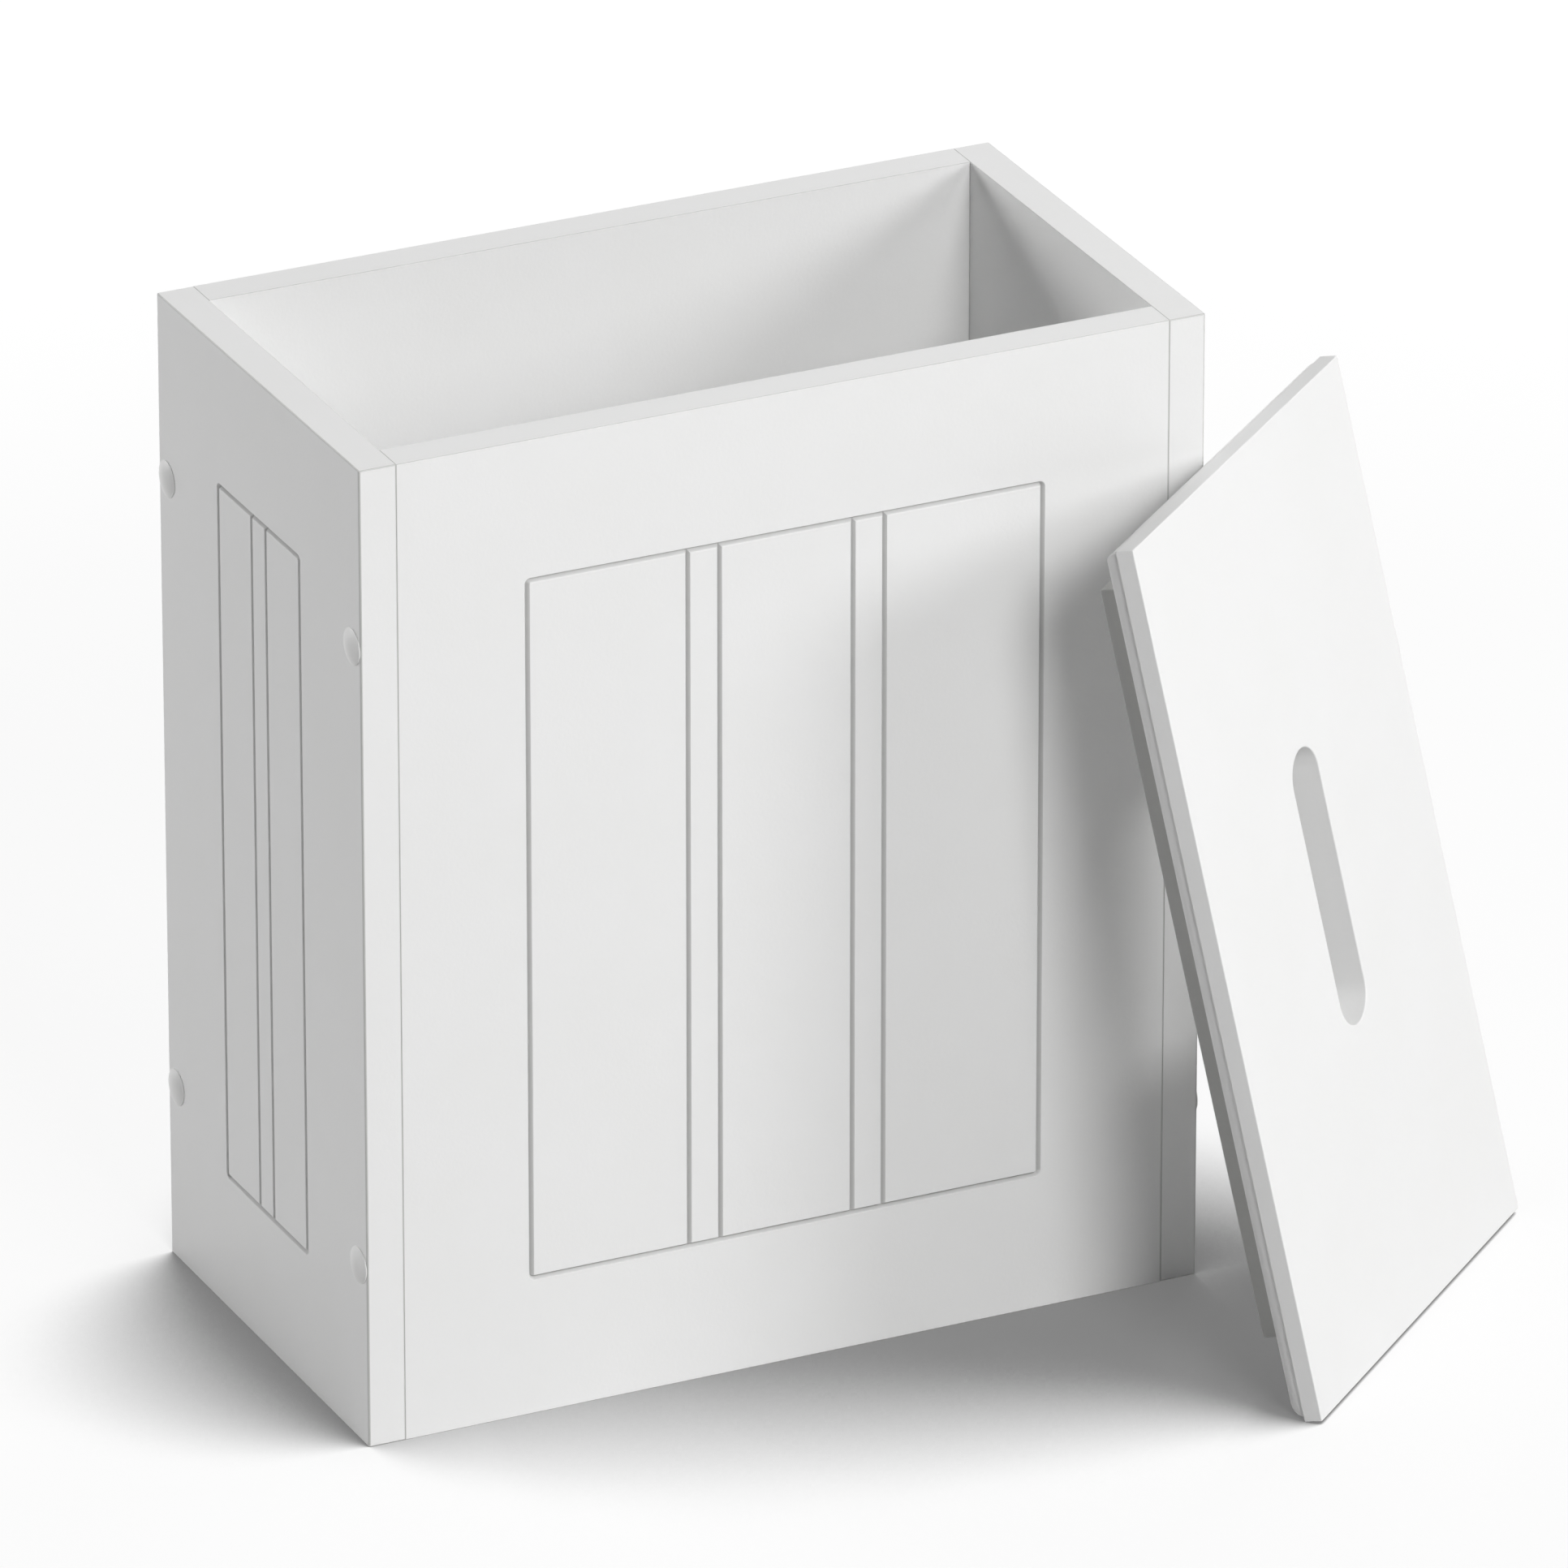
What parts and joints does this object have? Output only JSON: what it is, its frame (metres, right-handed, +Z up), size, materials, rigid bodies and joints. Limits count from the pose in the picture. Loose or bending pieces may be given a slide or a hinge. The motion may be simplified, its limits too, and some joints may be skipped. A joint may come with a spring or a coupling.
{
  "type": "slim lidded storage box",
  "caption": "Slim floor-standing bathroom storage box of white painted board with routed groove frames and a lift-off lid with a hand slot, shown leaning on its corner.",
  "frame": {"origin": "on the floor under the middle of the box, lid left out", "axes": "+X to the box's right seen from the front, +Y to its back, +Z up"},
  "size_m": [0.4863, 0.3226, 0.4],
  "materials": {
    "painted_board": "satin white paint on fibreboard",
    "painted_base_board": "white painted hardboard",
    "cap_plastic": "moulded, low gloss",
    "plated_steel": "zinc plated",
    "beech_dowel": "bare turned wood"
  },
  "bodies": {
    "cabinet": {"left_side_panel": "painted_board", "right_side_panel": "painted_board", "front_panel": "painted_board", "back_panel": "painted_board", "base_panel": "painted_base_board", "front_left_screws": "plated_steel", "front_left_screw_caps": "cap_plastic", "front_left_dowels": "beech_dowel", "front_right_screws": "plated_steel", "front_right_screw_caps": "cap_plastic", "front_right_dowels": "beech_dowel", "back_left_screws": "plated_steel", "back_left_screw_caps": "cap_plastic", "back_left_dowels": "beech_dowel", "back_right_screws": "plated_steel", "back_right_screw_caps": "cap_plastic", "back_right_dowels": "beech_dowel"},
    "lid": {"lid_panel": "painted_board", "lid_front_batten": "painted_board", "lid_back_batten": "painted_board", "lid_front_batten_screws": "plated_steel", "lid_back_batten_screws": "plated_steel"}
  },
  "joints": [
    {"name": "lid_lift", "type": "slide", "parent": "cabinet", "child": "lid", "axis": [0, 0, 1], "range_m": [0, 0.42]}
  ]
}
